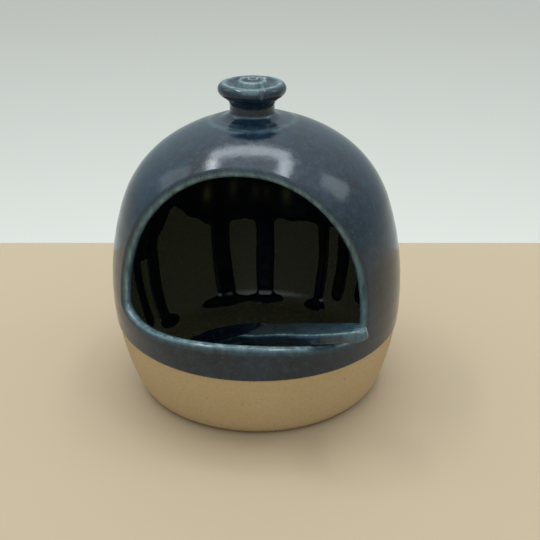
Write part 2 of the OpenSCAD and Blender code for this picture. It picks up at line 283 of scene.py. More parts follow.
def new_material(name, **sockets):
    """A named material with its main shader's constant sockets set. Returns it with its tree and shader."""
    material = bpy.data.materials.new(name)
    material.use_nodes = True
    shader = material.node_tree.nodes["Principled BSDF"]
    for socket, value in sockets.items():
        shader.inputs[socket].default_value = value
    return material, material.node_tree, shader


# Buff stoneware, fired and left bare: a dry, warm, sandy skin with fine grog in it, darker iron specks
# and faint level lines from the trimming tool. Real grog is finer than the 0.7 mm drawn here, which shows
# at this distance where finer grains would be lost.
bare_clay, tree, shader = new_material("buff_stoneware_unglazed", Roughness=0.78, IOR=1.5)
place = add(tree, "TexCoord").outputs["Object"]
cloud = add(tree, "TexNoise", {"Vector": place, "Scale": 1 / (22 * MM), "Detail": 3.0})
level = add(tree, "Mapping", {"Vector": place, "Scale": (0.05, 0.05, 1.0)})
lines = add(tree, "TexNoise", {"Vector": level.outputs[0], "Scale": 1 / (1.6 * MM), "Detail": 2.0})
grog = add(tree, "TexNoise", {"Vector": place, "Scale": 1 / (0.7 * MM), "Detail": 2.0, "Roughness": 0.6})
specks = add(tree, "TexNoise", {"Vector": place, "Scale": 1 / (1.1 * MM), "Detail": 1.0})
tone = add(tree, "Mix", {0: cloud.outputs["Fac"], 6: linear("#b2966d"), 7: linear("#c6ab82")},
           data_type="RGBA")
tone = add(tree, "Mix", {0: lines.outputs["Fac"], 6: tone.outputs[2], 7: linear("#bea378")}, data_type="RGBA")
grain = add(tree, "MapRange", {0: grog.outputs["Fac"], 1: 0.38, 2: 0.62, 3: 0.93, 4: 1.05})
tone = add(tree, "Mix", {0: 1.0, 6: tone.outputs[2], 7: grain.outputs[0]},
           data_type="RGBA", blend_type="MULTIPLY")
iron = add(tree, "MapRange", {0: specks.outputs["Fac"], 1: 0.685, 2: 0.74, 3: 0.0, 4: 0.35})
tone = add(tree, "Mix", {0: iron.outputs[0], 6: tone.outputs[2], 7: linear("#6d5233")}, data_type="RGBA")
relief = add(tree, "Math", {0: grog.outputs["Fac"], 1: lines.outputs["Fac"]}, operation="ADD")
bump = add(tree, "Bump", {"Height": relief.outputs[0], "Strength": 0.35, "Distance": 0.12 * MM})
tree.links.new(tone.outputs[2], shader.inputs["Base Color"])
tree.links.new(bump.outputs[0], shader.inputs["Normal"])

outside = jar_line(GLAZE, FOOT_R, 0.0)
inside = jar_line(GLAZE + WALL, INNER_CORNER_R, FLOOR_TOP)
outer_rows = wall_rows(outside, 0.0, outside[0, -1], 0.0, OUTSIDE_ROWS)
inner_rows = wall_rows(inside, 0.0, inside[0, -1], 0.0, INSIDE_ROWS)
around = window_angles(outside, outer_rows, OUTSIDE_ROWS[0] - 1, 0.0)


def lip_between(outer_inset, inner_inset, back, swell, count):
    """Half-round lip across the wall. It starts back from the mouth's outline and swells out past it."""
    faces = ((outside, outer_inset), (inside, inner_inset))
    ends, edges = ([on_wall(line, *mouth_rim(line, away, around), inset) for line, inset in faces]
                   for away in (back, back - swell))
    return lip(ends, edges, count)


outer_points, outer_faces, outer_rim = wall_with_mouth(
    outside, outer_rows, OUTSIDE_ROWS[0] - 1, 0.0, CLAY_BACK, around, 0, False)
inner_points, inner_faces, inner_rim = wall_with_mouth(
    inside, inner_rows, INSIDE_ROWS[0] - 1, 0.0, CLAY_BACK, around, len(outer_points), True)
clay_lip = lip_between(0.0, 0.0, CLAY_BACK, CLAY_SWELL, CLAY_LIP_ROWS)[1:-1]
lip_first = len(outer_points) + len(inner_points)
lip_rows = lip_first + np.arange(clay_lip[..., 0].size).reshape(len(clay_lip), -1)
lip_faces = quads(ringed(np.vstack([outer_rim, lip_rows, inner_rim])))
make_piece("thrown_jar", np.concatenate([outer_points, inner_points, clay_lip.reshape(-1, 3)]),
           np.concatenate([outer_faces, inner_faces, lip_faces]),
           "jar", ["clay_jar"], bare_clay)


# The dark coat: a deep blue glaze that the jar was dipped into, mouth and crown first, down to a line
# on the lower wall. It is thick on the wall and thin on edges, where it breaks to pale blue-green:
# round the lip of the mouth, and on the tooled ring about the knob.

# Deep blue glaze, dipped and fired to a gloss: a soft mottle of blue over near-black with fine paler flecks,
# and where it is thin a streaky blue-green edge. Where that edge mark runs highest it goes cream: in part the
# glaze's pale break, in part a painted highlight on the crests of the lip, the knob's rim and the spoon's
# handle.
deep_blue, tree, shader = new_material("deep_blue_stoneware_glaze", IOR=1.52)
place = add(tree, "TexCoord").outputs["Object"]
cloud = add(tree, "TexNoise", {"Vector": place, "Scale": 1 / (26 * MM), "Detail": 4.0, "Roughness": 0.6})
mottle = add(tree, "TexNoise", {"Vector": place, "Scale": 1 / (3.2 * MM), "Detail": 4.0, "Roughness": 0.65})
fleck = add(tree, "TexNoise", {"Vector": place, "Scale": 1 / (0.9 * MM), "Detail": 2.0})
spread = add(tree, "MapRange", {0: cloud.outputs["Fac"], 1: 0.35, 2: 0.68})
tone = add(tree, "Mix", {0: spread.outputs[0], 6: linear("#09131e"), 7: linear("#152839")}, data_type="RGBA")
patch = add(tree, "MapRange", {0: mottle.outputs["Fac"], 1: 0.45, 2: 0.75, 3: 0.0, 4: 0.5})
tone = add(tree, "Mix", {0: patch.outputs[0], 6: tone.outputs[2], 7: linear("#254253")}, data_type="RGBA")
dots = add(tree, "MapRange", {0: fleck.outputs["Fac"], 1: 0.62, 2: 0.74, 3: 0.0, 4: 0.35})
tone = add(tree, "Mix", {0: dots.outputs[0], 6: tone.outputs[2], 7: linear("#3f6072")}, data_type="RGBA")
# The edge mark: pale break where the glaze is thin, plus painted highlights and painted shade on the lip,
# knob rim and spoon
thin = add(tree, "Attribute", attribute_name="edge_break_and_painted_light")
down = add(tree, "Mapping", {"Vector": place, "Scale": (1.0, 1.0, 0.3)})
streak = add(tree, "TexNoise", {"Vector": down.outputs[0], "Scale": 1 / (2.6 * MM), "Detail": 3.0,
                                "Roughness": 0.6})
uneven = add(tree, "MapRange", {0: streak.outputs["Fac"], 1: 0.32, 2: 0.62, 3: 0.4, 4: 1.05})
break_and_highlight_share = add(tree, "Math", {0: thin.outputs["Fac"], 1: uneven.outputs[0]}, operation="MULTIPLY")
tone = add(tree, "Mix", {0: break_and_highlight_share.outputs[0], 6: tone.outputs[2], 7: linear("#6d878b")},
           data_type="RGBA")
# The highest marks go cream: in part the glaze's pale break, in part a painted highlight on crests
painted_crest_highlight = add(tree, "MapRange", {0: break_and_highlight_share.outputs[0], 1: 0.85, 2: 1.3, 3: 0.0, 4: 0.75})
tone = add(tree, "Mix", {0: painted_crest_highlight.outputs[0], 6: tone.outputs[2], 7: linear("#b3bcab")}, data_type="RGBA")
gloss = add(tree, "MapRange", {0: mottle.outputs["Fac"], 1: 0.3, 2: 0.7, 3: 0.11, 4: 0.2})
ripple = add(tree, "TexNoise", {"Vector": place, "Scale": 1 / (4.5 * MM), "Detail": 2.0})
bump = add(tree, "Bump", {"Height": ripple.outputs["Fac"], "Strength": 0.1, "Distance": 0.5 * MM})
tree.links.new(tone.outputs[2], shader.inputs["Base Color"])
tree.links.new(gloss.outputs[0], shader.inputs["Roughness"])
tree.links.new(bump.outputs[0], shader.inputs["Normal"])

# The dip line's height, how far it leans to the side and to the front, and its waver
DIP_Z, DIP_SIDE, DIP_FRONT, DIP_WAVE = 32.2, 0.55, 0.25, 0.12
# Where the coat ends under the knob, how far it swells over the lip, how high and how deep its lower edge is
# drawn in, and its thickness
COAT_END_R, COAT_SWELL, COAT_EDGE, COAT_DRAW, COAT_SHELL = 8.5, 2.95, 0.9, 0.45, 0.45
COAT_ROWS, COAT_LIP_ROWS = (12, 34), 19
RING_R, RING_HEIGHT, RING_WIDTH, RING_FROM_Z, RING_BREAK = 17.9, 0.25, 1.3, 110.0, 0.3
KNOB_X = -1.5
# The band of dark glaze inside the lip: how far it lies over the liner, and the places of its rows
BAND_INSET = LINER + 0.06
BAND_WIDTHS = np.array([0.8, 2.0, 3.5, 5.0, 6.5])
# Its unevenness, as waves of a size, a count to a round and a phase
BAND_WAVES = ((0.25, 7, 1.0), (0.15, 17, 0.0))
# How much the glaze breaks pale over the lip, from its outside at 0 to its inside at 1: at the sides, and
# in front. Near the peak, and most in front, the mark runs high enough to go cream, a painted highlight on
# the lip's crest over the pale break
SIDE_BREAK_AND_HIGHLIGHT = np.array([[0.0, 0.0], [0.15, 0.1], [0.28, 0.5], [0.42, 1.0], [0.52, 0.9], [0.66, 0.4],
                       [0.8, 0.0]])
FRONT_BREAK_AND_HIGHLIGHT = np.array([[0.0, 0.2], [0.15, 0.32], [0.3, 0.7], [0.42, 1.15], [0.52, 1.05], [0.66, 0.4],
                        [0.8, 0.0]])
# The same on the wall, row by row away from the lip
PATCH_BREAK = np.array([0.2, 0.13, 0.06, 0.0])


def bell(x, middle, spread):
    """Smooth hump, 1 at its middle, that falls off as the square of the distance over the spread."""
    return np.exp(-(((x - middle) / spread) ** 2))


def waves(turn, table):
    """Sum of waves round a ring, each of a size, a count to a round and a phase."""
    return sum(size * np.sin(count * turn + phase) for size, count, phase in table)


def past_dip(points, rows):
    """Distance of each row's vertex above the dip line, large on the rest of the coat."""
    above = np.full(len(points), 99.0)
    above[:rows.size] = (rows - rows[:1]).ravel()
    return above


turns = np.linspace(0, 2 * np.pi, COLUMNS, endpoint=False)
dip = length_at(outside, DIP_Z - DIP_SIDE * np.sin(turns) - DIP_FRONT * np.cos(turns)
                + DIP_WAVE * np.sin(5 * turns + 0.7))
crown_end = np.interp(-COAT_END_R, -outside[1][outside[2] > BELLY_Z], outside[0][outside[2] > BELLY_Z])
coat_rows = wall_rows(outside, dip, crown_end, 0.0, COAT_ROWS)
coat_points, coat_faces, coat_rim = wall_with_mouth(
    outside, coat_rows, COAT_ROWS[0] - 1, -GLAZE, 0.0, around, 0, False)

# The coat's lower edge is drawn in over its last millimetre, as a dried dip edge is, and the tooled ring
# stands up
above = past_dip(coat_points, coat_rows)
draw_in = COAT_DRAW * (1 - np.sqrt(1 - np.clip(1 - above / COAT_EDGE, 0, 1) ** 2)) * MM
from_axis = np.hypot(coat_points[:, 0], coat_points[:, 1])
coat_points[:, :2] *= (1 - draw_in / from_axis)[:, None]
from_knob = np.hypot(coat_points[:, 0] / MM - KNOB_X, coat_points[:, 1] / MM)
ring = np.where(coat_points[:, 2] / MM > RING_FROM_Z, bell(from_knob, RING_R, RING_WIDTH), 0.0)
outward = coat_points - np.array([0, 0, CROWN_C * MM])
outward /= np.linalg.norm(outward, axis=1)[:, None]
coat_points += outward * (ring * RING_HEIGHT * MM)[:, None]

# The coat goes on over the lip and ends inside it in an uneven band
coat_lip = lip_between(-GLAZE, BAND_INSET, 0.0, COAT_SWELL, COAT_LIP_ROWS)[1:]
band_wave = 1 + waves(around, BAND_WAVES)
band = np.stack([on_wall(inside, *mouth_rim(inside, width * band_wave, around), BAND_INSET)
                 for width in BAND_WIDTHS])
wrap = np.concatenate([coat_lip, band])
wrap_index = np.vstack([coat_rim, len(coat_points) + np.arange(wrap[..., 0].size).reshape(len(wrap), -1)])
lip_share = np.linspace(0, 1, COAT_LIP_ROWS)[1:]
front = np.clip(-np.sin(around), 0, 1) ** 2
side_break_and_highlight, front_break_and_highlight = (np.interp(lip_share, *table.T)[:, None] for table in (SIDE_BREAK_AND_HIGHLIGHT, FRONT_BREAK_AND_HIGHLIGHT))
# Pale break over the lip, with a painted highlight where it runs highest
lip_break_and_highlight = side_break_and_highlight + front * (front_break_and_highlight - side_break_and_highlight)
wall_break = np.zeros(len(coat_points))
patch_break = np.interp(np.arange(PATCH_ROWS - 1), np.arange(len(PATCH_BREAK)), PATCH_BREAK)
wall_break[coat_rows.size:] = (patch_break[:, None] * front).ravel()
wall_break = np.maximum(wall_break, RING_BREAK * ring)
band_break = np.zeros(len(BAND_WIDTHS) * len(around))
make_piece("dark_coat", np.concatenate([coat_points, wrap.reshape(-1, 3)]),
           np.concatenate([coat_faces, quads(ringed(wrap_index))]), "jar", ["outer_glaze"],
           deep_blue, {"edge_break_and_painted_light": np.concatenate([wall_break, lip_break_and_highlight.ravel(), band_break])},
           shell=COAT_SHELL)


# The liner: a thin olive glaze that was poured into the jar, swilled round and poured out, so that the
# inside holds salt without soaking it up. It goes over floor, wall and crown in one coat.

# Olive glaze, poured and fired to a soft gloss: a dim brownish green, darker in small patches.
olive, tree, shader = new_material("olive_liner_glaze", IOR=1.52)
place = add(tree, "TexCoord").outputs["Object"]
cloud = add(tree, "TexNoise", {"Vector": place, "Scale": 1 / (30 * MM), "Detail": 4.0})
mottle = add(tree, "TexNoise", {"Vector": place, "Scale": 1 / (2.4 * MM), "Detail": 4.0, "Roughness": 0.7})
tone = add(tree, "Mix", {0: cloud.outputs["Fac"], 6: linear("#57533b"), 7: linear("#6b664d")},
           data_type="RGBA")
patch = add(tree, "MapRange", {0: mottle.outputs["Fac"], 1: 0.4, 2: 0.75, 3: 0.0, 4: 0.5})
tone = add(tree, "Mix", {0: patch.outputs[0], 6: tone.outputs[2], 7: linear("#37352a")}, data_type="RGBA")
gloss = add(tree, "MapRange", {0: mottle.outputs["Fac"], 1: 0.3, 2: 0.7, 3: 0.2, 4: 0.32})
bump = add(tree, "Bump", {"Height": mottle.outputs["Fac"], "Strength": 0.03, "Distance": 0.3 * MM})
tree.links.new(tone.outputs[2], shader.inputs["Base Color"])
tree.links.new(gloss.outputs[0], shader.inputs["Roughness"])
tree.links.new(bump.outputs[0], shader.inputs["Normal"])

LINER_BACK, LINER_SHELL = 1.2, 0.36
liner_rows = wall_rows(inside, 0.0, inside[0, -1], LINER, INSIDE_ROWS)
liner_points, liner_faces, _ = wall_with_mouth(
    inside, liner_rows, INSIDE_ROWS[0] - 1, LINER, LINER_BACK, around, 0, True)
make_piece("olive_liner", liner_points, liner_faces, "jar", ["liner_glaze"], olive,
           shell=LINER_SHELL)


# Glaze runs: the dark glaze pooled under the crown, and in the firing it ran down the wall in thick,
# round-ended streaks over the liner. Those that reached the floor spread into small puddles.

# Near-black glaze, run thick and fired to a high gloss: black streaks that let the liner show where they
# are thin.
runny, tree, shader = new_material("run_glaze_near_black", IOR=1.53)
place = add(tree, "TexCoord").outputs["Object"]
mottle = add(tree, "TexNoise", {"Vector": place, "Scale": 1 / (6 * MM), "Detail": 4.0})
tone = add(tree, "Mix", {0: mottle.outputs["Fac"], 6: linear("#05070c"), 7: linear("#0d121c")},
           data_type="RGBA")
thin = add(tree, "Attribute", attribute_name="thin_glaze")
tone = add(tree, "Mix", {0: thin.outputs["Fac"], 6: tone.outputs[2], 7: linear("#5c573a")}, data_type="RGBA")
gloss = add(tree, "MapRange", {0: mottle.outputs["Fac"], 1: 0.3, 2: 0.7, 3: 0.1, 4: 0.18})
tree.links.new(tone.outputs[2], shader.inputs["Base Color"])
tree.links.new(gloss.outputs[0], shader.inputs["Roughness"])

# Each run: angle from the front at its top and its foot, width in mm at both, height of its round end in mm
# or 0 on the floor, and the angles between which its puddle spreads
RUNS = np.array([[92, 92, 7.0, 6.2, 16, 0, 0], [110, 110, 6.4, 6.0, 0, 103, 117],
                 [126, 127, 6.6, 7.0, 18.5, 0, 0], [140, 142, 8.0, 7.0, 14.5, 0, 0],
                 [152.5, 152.7, 6.0, 5.2, 0, 147, 160], [183, 183.5, 9.6, 8.6, 0, 173, 192.5],
                 [206, 205, 10.0, 9.6, 0, 193.5, 221], [246, 247, 9.0, 8.0, 0, 238, 252],
                 [260, 258.5, 7.6, 6.4, 12, 0, 0], [276, 276, 7.0, 6.4, 0, 268, 283],
                 [293, 293, 6.0, 5.0, 24, 0, 0]])
# Height of the dark glaze's edge at angles from the front
EDGE_TURN = np.array([0, 70, 100, 119, 134, 147, 157, 162, 169, 175, 190, 197, 206,
                      213, 217, 223, 228, 231, 234, 237, 242, 252, 267, 285, 310, 360])
EDGE_Z = np.array([60, 58, 54, 53, 52.5, 53, 51.5, 53, 51.4, 51.8, 51, 52, 50.5,
                   51.5, 55, 59, 63.7, 65.7, 64.4, 58, 52, 44, 53, 54, 58, 60])
# Places where the dark glaze is thin enough to let the liner show: angle, height and how much, and their size
THIN_SPOTS = np.array([[213, 69.0, 1.0], [199, 70.5, 0.45], [188, 68.0, 0.35], [182, 67.0, 0.35],
                       [172, 66.0, 0.9]])
SPOT_R, SPOT_WIDE, SPOT_HIGH = 50, 2.0, 5.0
RUN_COLUMNS, RUN_ROWS, RUN_LEAST_R = 480, 160, 20.0
# Thickness of a run, width of its rounded side, and how far runs that meet are rounded into each other
RUN_T, RUN_SLOPE, RUN_MEET = 0.8, 2.0, 2.2
# Waves of the glaze's edge in mm, how far in radians a run wanders, the share by which its width swells, and
# the lengths in mm over which it does so
EDGE_WAVES = ((0.35, 19, 0.4), (0.25, 43, 1.9))
RUN_WANDER, WANDER_L, RUN_SWELL, SWELL_L = 0.002, 5.0, 0.02, 6.0
# Heights of the runs' feet and tops, and the puddles' place and reach along the floor
RUN_FOOT_Z, RUN_TOP_Z, PUDDLE_AT, PUDDLE_REACH = 10.5, 52.0, 2.2, 3.4
# The sheet starts on the floor, this far in from where the corner starts to rise
FLOOR_EDGE_Z, FLOOR_REACH = 7.6, 9.0
# Room to the mouth, how far the sheet goes on under the liner past its edge, how steeply and how deep, and
# its own thickness
RUN_CLEAR, RUN_EDGE, RUN_FALL, RUN_SINK, RUN_SHELL = 2.0, 0.7, 0.5, 0.36, 0.3


def angle_between(a, b):
    """Angle from b to a, within half a round either way."""
    return np.arctan2(np.sin(a - b), np.cos(a - b))


def soft_max(a, b, width):
    """Greater of two fields, rounded where they are within a width of each other."""
    h = np.clip(0.5 + 0.5 * (a - b) / width, 0, 1)
    return b + (a - b) * h + width * h * (1 - h)


def run_field(turn, s):
    """Distance in mm inside the edge of the dark glaze, on the wall unrolled: the pool under the crown,
    a round-ended strip for each run, and a flat oval for each puddle, all run together."""
    r = np.maximum(np.interp(s, inside[0], inside[1]), RUN_LEAST_R)
    edge_z = np.interp(np.degrees(turn) % 360, EDGE_TURN, EDGE_Z)
    field = s - length_at(inside, edge_z) - waves(turn, EDGE_WAVES)
    floor_s, top_s = length_at(inside, RUN_FOOT_Z), length_at(inside, RUN_TOP_Z)
    for top, foot, top_width, foot_width, end_z, left, right in RUNS:
        share = np.clip((s - floor_s) / (top_s - floor_s), 0, 1)
        middle = np.radians(foot + (top - foot) * share) + RUN_WANDER * np.sin(s / WANDER_L + top)
        across = angle_between(turn, middle) * r
        swell = 1 + RUN_SWELL * np.sin(s / SWELL_L + 2 * top)
        half = (foot_width + (top_width - foot_width) * share) / 2 * swell
        stop = length_at(inside, end_z) + foot_width / 2 if end_z else floor_s
        field = soft_max(field, half - np.hypot(across, np.maximum(stop - s, 0.0)), RUN_MEET)
        if not end_z:
            spread = math.radians(right - left) / 2 * r
            aside = angle_between(turn, math.radians((left + right) / 2)) * r
            oval = np.hypot(aside / spread, (s - floor_s + PUDDLE_AT) / PUDDLE_REACH)
            field = soft_max(field, PUDDLE_REACH * (1 - oval), RUN_MEET)
    return field


run_turn = np.linspace(0, 2 * np.pi, RUN_COLUMNS, endpoint=False)[None, :]
run_s = np.linspace(length_at(inside, FLOOR_EDGE_Z) - FLOOR_REACH, inside[0, -1], RUN_ROWS)[:, None]
run_turn, run_s = np.broadcast_arrays(run_turn, run_s)
field = run_field(run_turn, run_s)
plan = on_wall(inside, run_turn, run_s, LINER) / MM
mouth_x, mouth_z = mouth_outline(np.arctan2(plan[..., 2] - MOUTH_MID, plan[..., 0]))
from_mouth = np.hypot(plan[..., 0], plan[..., 2] - MOUTH_MID) - np.hypot(mouth_x, mouth_z - MOUTH_MID)
field = np.where(plan[..., 1] < 0, np.minimum(field, from_mouth - RUN_CLEAR), field)
thick = (RUN_T * np.sqrt(1 - (1 - np.clip(field / RUN_SLOPE, 0, 1)) ** 2)
         + np.minimum(field, 0) * RUN_FALL)
run_points = on_wall(inside, run_turn, run_s, LINER + np.maximum(thick, -RUN_SINK))
run_index = ringed(np.arange(run_turn.size).reshape(run_turn.shape))
shown = ringed(field > -RUN_EDGE)
cells = shown[:-1, :-1] | shown[:-1, 1:] | shown[1:, 1:] | shown[1:, :-1]
spot = sum(share * bell(run_turn * SPOT_R, math.radians(a) * SPOT_R, SPOT_WIDE)
           * bell(plan[..., 2], z, SPOT_HIGH) for a, z, share in THIN_SPOTS)
make_piece("glaze_runs_inside", run_points.reshape(-1, 3), quads(run_index, True)[cells.ravel()], "jar",
           ["glaze_runs"], runny, {"thin_glaze": np.clip(spot, 0, 1).ravel()}, shell=RUN_SHELL)


# The knob: a small button of the same clay, turned with a hollow neck and a dished top with a raised ring
# in it, then luted onto the crown with slip. It is glazed with the jar, and its edges break pale.

# Its profile, as points at a radius and a height, and arcs by their centre, radius and angles: the mound of
# slip at its foot, the hollow neck, the rim, the dish, the raised ring in it, and the middle of the top
MOUND = [[0, 118.0], [13.6, 118.0], [13.6, 121.9], [12.0, 122.7], [10.6, 123.6], [9.8, 124.4], [9.5, 125.2]]
NECK_ARC = (13.75, 127.0, 4.25, 180, 127)
RIM_ARC = (11.75, 134.25, 2.75, -53, 115)
DISH = [[9.6, 135.9], [8.2, 135.1], [7.2, 135.3]]
TOP_RING_ARC = (5.0, 136.8, 1.2, 0, 150)
TOP_MIDDLE = [[3.0, 136.9], [0, 136.6]]
KNOB_R, KNOB_SIDES, KNOB_ROWS, KNOB_ARC_POINTS, SMOOTH_ROWS = 14.5, 144, 260, 30, 4
# A nick in the rim, by its angle from the front, and how far the knob is off true round
NICK_TURN, NICK_WIDTH, NICK_DEPTH, NICK_FALL = 23.0, 0.55, 0.7, 0.35
NICK_Z, NICK_REACH, NICK_FROM_R, NICK_FADE, NICK_BREAK = 135.0, 1.8, 10.5, 2, 0.6
KNOB_WAVE, KNOB_WAVE_R, KNOB_WAVE_Z, KNOB_WAVE_FADE = 0.12, 10, 124.0, 4
# Where the glaze breaks pale: the rim's crest, the raised ring, and the line above the mound; the dish is
# drawn a little paler as well. By place and spread, what bounds it, and how much
RIM_CREST_R, RIM_CREST_SPREAD, RIM_CREST_FROM_Z = 12.0, 0.9, 136.0
DISH_OUT_R, DISH_IN_R, DISH_FROM_Z, DISH_PALER = 11.0, 4.0, 134.6, 0.2
TOP_RING_R, TOP_RING_SPREAD, TOP_RING_FROM_Z, TOP_RING_BREAK = 5.6, 1.1, 135.0, 0.9
MOUND_Z, MOUND_SPREAD, MOUND_FROM_R, MOUND_BREAK = 124.3, 0.35, 8, 0.35
# A painted highlight on the rim's edge round one angle from the front, outside a radius
RIM_GLINT_TURN, RIM_GLINT_SPREAD, RIM_GLINT_Z, RIM_GLINT_REACH, RIM_GLINT_FROM_R, RIM_GLINT_SHARE = 5.0, 18.0, 135.9, 0.9, 12.0, 0.55


def knob_line():
    """Profile of the knob, from the axis inside the crown to the middle of the top, rounded by a running
    mean."""
    def arc(x, z, r, start, end):
        a = np.radians(np.linspace(start, end, KNOB_ARC_POINTS))
        return np.stack([x + r * np.cos(a), z + r * np.sin(a)], 1)
    corners = np.concatenate([MOUND, arc(*NECK_ARC), arc(*RIM_ARC), DISH, arc(*TOP_RING_ARC), TOP_MIDDLE])
    length = np.concatenate([[0], np.cumsum(np.hypot(*np.diff(corners, axis=0).T))])
    even = np.linspace(0, length[-1], KNOB_ROWS)
    line = np.stack([np.interp(even, length, c) for c in corners.T], 1)
    kernel = np.exp(-np.linspace(-2, 2, 2 * SMOOTH_ROWS + 1) ** 2)
    padded = np.pad(line, ((SMOOTH_ROWS, SMOOTH_ROWS), (0, 0)), mode="edge")
    line = np.stack([np.convolve(c, kernel / kernel.sum(), "valid") for c in padded.T], 1)
    line[0, 0] = line[-1, 0] = 0.0
    return line


knob_profile = knob_line()
knob_turn = np.linspace(0, 2 * np.pi, KNOB_SIDES, endpoint=False)
nick = bell(knob_turn * KNOB_R, math.radians(NICK_TURN) * KNOB_R, NICK_WIDTH)
line_r, line_z = knob_profile.T
r, z = knob_profile[:, :1], knob_profile[:, 1:]
at_rim = bell(z, NICK_Z, NICK_REACH) * np.clip((r - NICK_FROM_R) / NICK_FADE, 0, 1)
above_foot = np.clip(r / KNOB_WAVE_R, 0, 1) * np.clip((z - KNOB_WAVE_Z) / KNOB_WAVE_FADE, 0, 1)
wobble = KNOB_WAVE * (np.sin(3 * knob_turn + 0.5) - 1) * above_foot
r = r + wobble - NICK_DEPTH * nick * at_rim
z = z - NICK_FALL * NICK_DEPTH * nick * at_rim + np.zeros_like(r)
knob_points = np.stack([KNOB_X + r * np.sin(knob_turn), -r * np.cos(knob_turn), z], -1) * MM
knob_edge = (bell(line_r, RIM_CREST_R, RIM_CREST_SPREAD) * (line_z > RIM_CREST_FROM_Z)
             + DISH_PALER * (line_r < DISH_OUT_R) * (line_r > DISH_IN_R) * (line_z > DISH_FROM_Z)
             + TOP_RING_BREAK * bell(line_r, TOP_RING_R, TOP_RING_SPREAD) * (line_z > TOP_RING_FROM_Z)
             + MOUND_BREAK * bell(line_z, MOUND_Z, MOUND_SPREAD) * (line_r > MOUND_FROM_R))
# A painted highlight on the rim's edge, round the angle that faces the front
near = np.exp(-((np.degrees(angle_between(knob_turn, math.radians(RIM_GLINT_TURN))) / RIM_GLINT_SPREAD) ** 4))
painted_rim_glint = (bell(line_z, RIM_GLINT_Z, RIM_GLINT_REACH) * (line_r > RIM_GLINT_FROM_R))[:, None] * near
knob_marks = np.clip(knob_edge[:, None] + NICK_BREAK * nick * at_rim + RIM_GLINT_SHARE * painted_rim_glint, 0, 1)
make_piece("turned_knob", knob_points.reshape(-1, 3), quads(ringed(np.arange(r.size).reshape(r.shape))),
           "jar", ["knob"], deep_blue, {"edge_break_and_painted_light": knob_marks.ravel()})


# The spoon: a loose hand-made scoop, pressed from a slab of the same clay, with a broad flat handle and a
# leaf-shaped bowl, glazed all over. It lies with its bowl on the floor and its handle on the lip.
SPOON_L, BOWL_L, BOWL_W, BOWL_DEPTH, SPOON_T = 114.0, 47.0, 34.5, 9.0, 4.0
HANDLE_W, HANDLE_END, NECK_W, HANDLE_STRAIGHT, BOWL_DROP = 16.0, 18.0, 17.5, 28.0, 2.0
END_DROOP, DROOP_L = 3.0, 37.0
HANDLE_L = SPOON_L - BOWL_L
# The handle sags a little inside the lip and the neck stands up: height in mm, place and spread along the
# spoon
BENDS = np.array([[-1.9, 27.0, 17.0], [1.4, 74.0, 11.0]])
# The handle is thicker below, as far as this past its neck, and that fades over a length
HANDLE_EXTRA, EXTRA_PAST, EXTRA_FADE = 0.9, 16.0, 24.0
SPOON_ROWS, SPOON_SIDES, EDGE_POWER = 150, 64, 8
SPOON_AT, SPOON_HEADING, SPOON_TILT = (47.924, -61.694, 61.197), 139.0, 24.0765
# The glaze is thin on the handle and thinner on its end: how pale it breaks, as far as which length along the
# spoon, and over what length it fades
HANDLE_BREAK, HANDLE_BREAK_TO, HANDLE_BREAK_FADE = 0.22, HANDLE_L + 6, 12
END_BREAK, END_BREAK_TO, END_BREAK_FADE = 0.5, 10, 8
# A painted dark reflection along the middle of the sides, between the two painted highlight lines: how much,
# from which share across and length along, and the fades
FLANK_PAINTED_DARK, FLANK_FROM, FLANK_FADE, FLANK_START, FLANK_START_FADE = 0.85, 0.935, 0.03, 6, 8
# Painted highlight lines on the upper edge and, weaker, on the lower one: how much, at which share across,
# and the spread
UPPER_HIGHLIGHT, LOWER_HIGHLIGHT = (1.25, 0.88, 0.05), (0.45, 0.9, 0.04)
HIGHLIGHT_TO, HIGHLIGHT_FADE = HANDLE_L + 20, 20


def ease(t):
    """Smooth step from 0 to 1."""
    t = np.clip(t, 0, 1)
    return t * t * (3 - 2 * t)


def round_end(t):
    """Quarter circle from 0 to 1."""
    return np.sqrt(1 - (1 - np.clip(t, 0, 1)) ** 2)


def spoon_skin(u, t, side):
    """Point of the spoon at a length from the handle's end, a share across from -1 to 1, and on top or below.

    The width eases from handle to neck to bowl and ends in half an oval. The middle falls by the bowl's
    hollow, deepest in the middle, and the thickness fades to nothing at the edges."""
    along = np.clip((u - HANDLE_L) / BOWL_L, 0, 1)
    handle = (HANDLE_W + (NECK_W - HANDLE_W) * ease(u / HANDLE_L)) / 2 * round_end(u / HANDLE_END)
    shoulder = (NECK_W + (BOWL_W - NECK_W) * ease(2 * along)) / 2
    leaf = BOWL_W / 2 * np.sqrt(np.maximum(1 - (2 * along - 1) ** 2, 0))
    half = np.where(u < HANDLE_L, handle, np.where(along < 0.5, shoulder, leaf))
    hollow = BOWL_DEPTH * np.sin(np.pi * along) ** 0.8
    fall = (END_DROOP * np.clip(1 - u / DROOP_L, 0, 1) ** 2
            + BOWL_DROP * ease((u - HANDLE_STRAIGHT) / (HANDLE_L - HANDLE_STRAIGHT)))
    for rise, middle, spread in BENDS:
        fall = fall - rise * bell(u, middle, spread)
    extra = HANDLE_EXTRA * ease((HANDLE_L + EXTRA_PAST - u) / EXTRA_FADE)
    deep = SPOON_T / 2 + np.where(side < 0, extra, 0.0)
    tips = round_end(2 * u / SPOON_T) * round_end(2 * (SPOON_L - u) / SPOON_T)
    thick = deep * np.sqrt(1 - t**EDGE_POWER) * tips
    return u, t * half, -SPOON_T / 2 - fall - hollow * (1 - t * t) + side * thick


